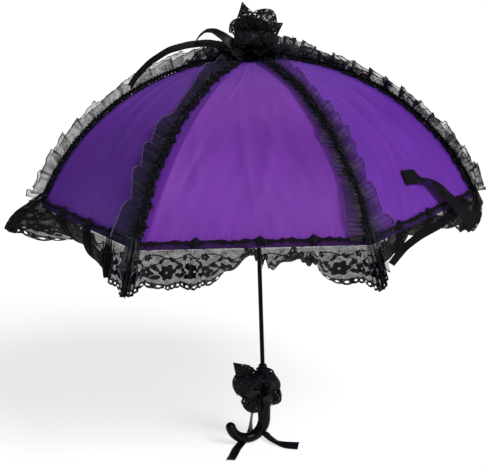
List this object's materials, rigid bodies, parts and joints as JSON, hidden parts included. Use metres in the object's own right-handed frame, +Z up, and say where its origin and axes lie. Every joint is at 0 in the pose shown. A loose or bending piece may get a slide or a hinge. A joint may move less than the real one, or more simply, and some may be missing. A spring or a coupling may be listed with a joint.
{
  "type": "lace parasol",
  "caption": "Open ribbed parasol with a six-gore domed satin canopy, gathered lace frills and flounce, lace bows with ribbons, a slim shaft and a crook handle.",
  "frame": {"origin": "middle of the handle's straight grip, on the shaft's axis", "axes": "+Z up along the shaft towards the canopy, +X towards the right corner of the canopy, -Y towards the front gore"},
  "size_m": [0.8994, 0.779, 0.8307],
  "materials": {
    "handle_plastic": "black moulded plastic, satin gloss",
    "shaft_steel": "black enamelled steel tube",
    "fitting_plastic": "black moulded plastic, matte",
    "spring_steel": "bright spring steel",
    "rib_steel": "black coated steel wire",
    "purple_satin": "purple polyester satin",
    "flounce_lace": "black floral lace on net",
    "bow_lace": "black scalloped lace over organza",
    "satin_ribbon": "black satin ribbon"
  },
  "bodies": {
    "root": {"handle": "handle_plastic", "handle_collar": "fitting_plastic", "shaft": "shaft_steel", "shaft_pins": "spring_steel", "crown": "fitting_plastic", "crown_wire": "spring_steel", "canopy_washer": "fitting_plastic", "finial_cap": "fitting_plastic", "top_bow": "bow_lace", "grip_bow": "bow_lace", "grip_tail_left": "satin_ribbon", "grip_tail_right": "satin_ribbon"},
    "runner": {"runner": "fitting_plastic"},
    "upper_catch": {"upper_catch": "spring_steel"},
    "lower_catch": {"lower_catch": "spring_steel"},
    "rib_1": {"rib_1": "rib_steel", "tip_1": "fitting_plastic"},
    "stretcher_1": {"stretcher_1": "rib_steel"},
    "panel_1_left": {"gore_1_left": "purple_satin", "flounce_1_left": "flounce_lace", "strap": "satin_ribbon"},
    "panel_1_right": {"gore_1_right": "purple_satin", "flounce_1_right": "flounce_lace"},
    "rib_2": {"rib_2": "rib_steel", "tip_2": "fitting_plastic"},
    "stretcher_2": {"stretcher_2": "rib_steel"},
    "panel_2_left": {"gore_2_left": "purple_satin", "flounce_2_left": "flounce_lace"},
    "panel_2_right": {"gore_2_right": "purple_satin", "flounce_2_right": "flounce_lace"},
    "rib_3": {"rib_3": "rib_steel", "tip_3": "fitting_plastic"},
    "stretcher_3": {"stretcher_3": "rib_steel"},
    "panel_3_left": {"gore_3_left": "purple_satin", "flounce_3_left": "flounce_lace"},
    "panel_3_right": {"gore_3_right": "purple_satin", "flounce_3_right": "flounce_lace"},
    "rib_4": {"rib_4": "rib_steel", "tip_4": "fitting_plastic", "top_ribbon": "satin_ribbon"},
    "stretcher_4": {"stretcher_4": "rib_steel"},
    "panel_4_left": {"gore_4_left": "purple_satin", "flounce_4_left": "flounce_lace"},
    "panel_4_right": {"gore_4_right": "purple_satin", "flounce_4_right": "flounce_lace"},
    "rib_5": {"rib_5": "rib_steel", "tip_5": "fitting_plastic"},
    "stretcher_5": {"stretcher_5": "rib_steel"},
    "panel_5_left": {"gore_5_left": "purple_satin", "flounce_5_left": "flounce_lace"},
    "panel_5_right": {"gore_5_right": "purple_satin", "flounce_5_right": "flounce_lace"},
    "rib_6": {"rib_6": "rib_steel", "tip_6": "fitting_plastic"},
    "stretcher_6": {"stretcher_6": "rib_steel"},
    "panel_6_left": {"gore_6_left": "purple_satin", "flounce_6_left": "flounce_lace"},
    "panel_6_right": {"gore_6_right": "purple_satin", "flounce_6_right": "flounce_lace"}
  },
  "joints": [
    {"name": "canopy_fold", "type": "hinge", "parent": "root", "child": "rib_1", "pos_m": [0.0095, 0, 0.63], "axis": [0, 1, 0], "range_deg": [0, 54], "deforming": ["gore_1_left", "flounce_1_left", "strap", "gore_1_right", "flounce_1_right", "gore_2_left", "flounce_2_left", "gore_2_right", "flounce_2_right", "gore_3_left", "flounce_3_left", "gore_3_right", "flounce_3_right", "gore_4_left", "flounce_4_left", "gore_4_right", "flounce_4_right", "gore_5_left", "flounce_5_left", "gore_5_right", "flounce_5_right", "gore_6_left", "flounce_6_left", "gore_6_right", "flounce_6_right", "top_ribbon", "upper_catch", "lower_catch"]},
    {"name": "rib_2_fold", "type": "hinge", "parent": "root", "child": "rib_2", "pos_m": [0.00475, 0.00823, 0.63], "axis": [-0.866, 0.5, 0], "range_deg": [0, 54]},
    {"name": "rib_3_fold", "type": "hinge", "parent": "root", "child": "rib_3", "pos_m": [-0.00475, 0.00823, 0.63], "axis": [-0.866, -0.5, 0], "range_deg": [0, 54]},
    {"name": "rib_4_fold", "type": "hinge", "parent": "root", "child": "rib_4", "pos_m": [-0.0095, 0, 0.63], "axis": [0, -1, 0], "range_deg": [0, 54]},
    {"name": "rib_5_fold", "type": "hinge", "parent": "root", "child": "rib_5", "pos_m": [-0.00475, -0.00823, 0.63], "axis": [0.866, -0.5, 0], "range_deg": [0, 54]},
    {"name": "rib_6_fold", "type": "hinge", "parent": "root", "child": "rib_6", "pos_m": [0.00475, -0.00823, 0.63], "axis": [0.866, 0.5, 0], "range_deg": [0, 54]},
    {"name": "stretcher_1_pivot", "type": "hinge", "parent": "rib_1", "child": "stretcher_1", "pos_m": [0.20819, 0, 0.57065], "axis": [0, -1, 0], "range_deg": [0, 108]},
    {"name": "stretcher_2_pivot", "type": "hinge", "parent": "rib_2", "child": "stretcher_2", "pos_m": [0.1041, 0.1803, 0.57065], "axis": [0.866, -0.5, 0], "range_deg": [0, 108]},
    {"name": "stretcher_3_pivot", "type": "hinge", "parent": "rib_3", "child": "stretcher_3", "pos_m": [-0.1041, 0.1803, 0.57065], "axis": [0.866, 0.5, 0], "range_deg": [0, 108]},
    {"name": "stretcher_4_pivot", "type": "hinge", "parent": "rib_4", "child": "stretcher_4", "pos_m": [-0.20819, 0, 0.57065], "axis": [0, 1, 0], "range_deg": [0, 108]},
    {"name": "stretcher_5_pivot", "type": "hinge", "parent": "rib_5", "child": "stretcher_5", "pos_m": [-0.1041, -0.1803, 0.57065], "axis": [-0.866, 0.5, 0], "range_deg": [0, 108]},
    {"name": "stretcher_6_pivot", "type": "hinge", "parent": "rib_6", "child": "stretcher_6", "pos_m": [0.1041, -0.1803, 0.57065], "axis": [-0.866, -0.5, 0], "range_deg": [0, 108]},
    {"name": "runner_slide", "type": "slide", "parent": "root", "child": "runner", "axis": [0, 0, -1], "range_m": [0, 0.27256]},
    {"name": "panel_1_left_fold", "type": "hinge", "parent": "rib_1", "child": "panel_1_left", "pos_m": [0.0095, 0, 0.63], "axis": [0.4673, -0.8514, 0.2381], "range_deg": [0, 30.47]},
    {"name": "panel_1_right_fold", "type": "hinge", "parent": "rib_1", "child": "panel_1_right", "pos_m": [0.0095, 0, 0.63], "axis": [-0.4673, -0.8514, -0.2381], "range_deg": [0, 30.47]},
    {"name": "panel_2_left_fold", "type": "hinge", "parent": "rib_2", "child": "panel_2_left", "pos_m": [0.00475, 0.00823, 0.63], "axis": [0.971, -0.021, 0.2381], "range_deg": [0, 30.47]},
    {"name": "panel_2_right_fold", "type": "hinge", "parent": "rib_2", "child": "panel_2_right", "pos_m": [0.00475, 0.00823, 0.63], "axis": [0.5037, -0.8304, -0.2381], "range_deg": [0, 30.47]},
    {"name": "panel_3_left_fold", "type": "hinge", "parent": "rib_3", "child": "panel_3_left", "pos_m": [-0.00475, 0.00823, 0.63], "axis": [0.5037, 0.8304, 0.2381], "range_deg": [0, 30.47]},
    {"name": "panel_3_right_fold", "type": "hinge", "parent": "rib_3", "child": "panel_3_right", "pos_m": [-0.00475, 0.00823, 0.63], "axis": [0.971, 0.021, -0.2381], "range_deg": [0, 30.47]},
    {"name": "panel_4_left_fold", "type": "hinge", "parent": "rib_4", "child": "panel_4_left", "pos_m": [-0.0095, 0, 0.63], "axis": [-0.4673, 0.8514, 0.2381], "range_deg": [0, 30.47]},
    {"name": "panel_4_right_fold", "type": "hinge", "parent": "rib_4", "child": "panel_4_right", "pos_m": [-0.0095, 0, 0.63], "axis": [0.4673, 0.8514, -0.2381], "range_deg": [0, 30.47]},
    {"name": "panel_5_left_fold", "type": "hinge", "parent": "rib_5", "child": "panel_5_left", "pos_m": [-0.00475, -0.00823, 0.63], "axis": [-0.971, 0.021, 0.2381], "range_deg": [0, 30.47]},
    {"name": "panel_5_right_fold", "type": "hinge", "parent": "rib_5", "child": "panel_5_right", "pos_m": [-0.00475, -0.00823, 0.63], "axis": [-0.5037, 0.8304, -0.2381], "range_deg": [0, 30.47]},
    {"name": "panel_6_left_fold", "type": "hinge", "parent": "rib_6", "child": "panel_6_left", "pos_m": [0.00475, -0.00823, 0.63], "axis": [-0.5037, -0.8304, 0.2381], "range_deg": [0, 30.47]},
    {"name": "panel_6_right_fold", "type": "hinge", "parent": "rib_6", "child": "panel_6_right", "pos_m": [0.00475, -0.00823, 0.63], "axis": [-0.971, -0.021, -0.2381], "range_deg": [0, 30.47]},
    {"name": "upper_catch_press", "type": "hinge", "parent": "root", "child": "upper_catch", "pos_m": [0, 0, 0.44], "axis": [0, -1, 0], "range_deg": [0, 5.5], "stiffness_Nm_per_rad": 0.05},
    {"name": "lower_catch_press", "type": "hinge", "parent": "root", "child": "lower_catch", "pos_m": [0, 0, 0.26954], "axis": [0, 1, 0], "range_deg": [0, 5.5], "stiffness_Nm_per_rad": 0.05}
  ],
  "couplings": [
    {"joint": "rib_2_fold", "follows": "canopy_fold", "ratio": 1},
    {"joint": "rib_3_fold", "follows": "canopy_fold", "ratio": 1},
    {"joint": "rib_4_fold", "follows": "canopy_fold", "ratio": 1},
    {"joint": "rib_5_fold", "follows": "canopy_fold", "ratio": 1},
    {"joint": "rib_6_fold", "follows": "canopy_fold", "ratio": 1},
    {"joint": "stretcher_1_pivot", "follows": "canopy_fold", "ratio": 2},
    {"joint": "stretcher_2_pivot", "follows": "canopy_fold", "ratio": 2},
    {"joint": "stretcher_3_pivot", "follows": "canopy_fold", "ratio": 2},
    {"joint": "stretcher_4_pivot", "follows": "canopy_fold", "ratio": 2},
    {"joint": "stretcher_5_pivot", "follows": "canopy_fold", "ratio": 2},
    {"joint": "stretcher_6_pivot", "follows": "canopy_fold", "ratio": 2},
    {"joint": "runner_slide", "follows": "canopy_fold", "m_per_rad": 0.28919},
    {"joint": "panel_1_left_fold", "follows": "canopy_fold", "ratio": 0.56421},
    {"joint": "panel_1_right_fold", "follows": "canopy_fold", "ratio": 0.56421},
    {"joint": "panel_2_left_fold", "follows": "canopy_fold", "ratio": 0.56421},
    {"joint": "panel_2_right_fold", "follows": "canopy_fold", "ratio": 0.56421},
    {"joint": "panel_3_left_fold", "follows": "canopy_fold", "ratio": 0.56421},
    {"joint": "panel_3_right_fold", "follows": "canopy_fold", "ratio": 0.56421},
    {"joint": "panel_4_left_fold", "follows": "canopy_fold", "ratio": 0.56421},
    {"joint": "panel_4_right_fold", "follows": "canopy_fold", "ratio": 0.56421},
    {"joint": "panel_5_left_fold", "follows": "canopy_fold", "ratio": 0.56421},
    {"joint": "panel_5_right_fold", "follows": "canopy_fold", "ratio": 0.56421},
    {"joint": "panel_6_left_fold", "follows": "canopy_fold", "ratio": 0.56421},
    {"joint": "panel_6_right_fold", "follows": "canopy_fold", "ratio": 0.56421}
  ]
}
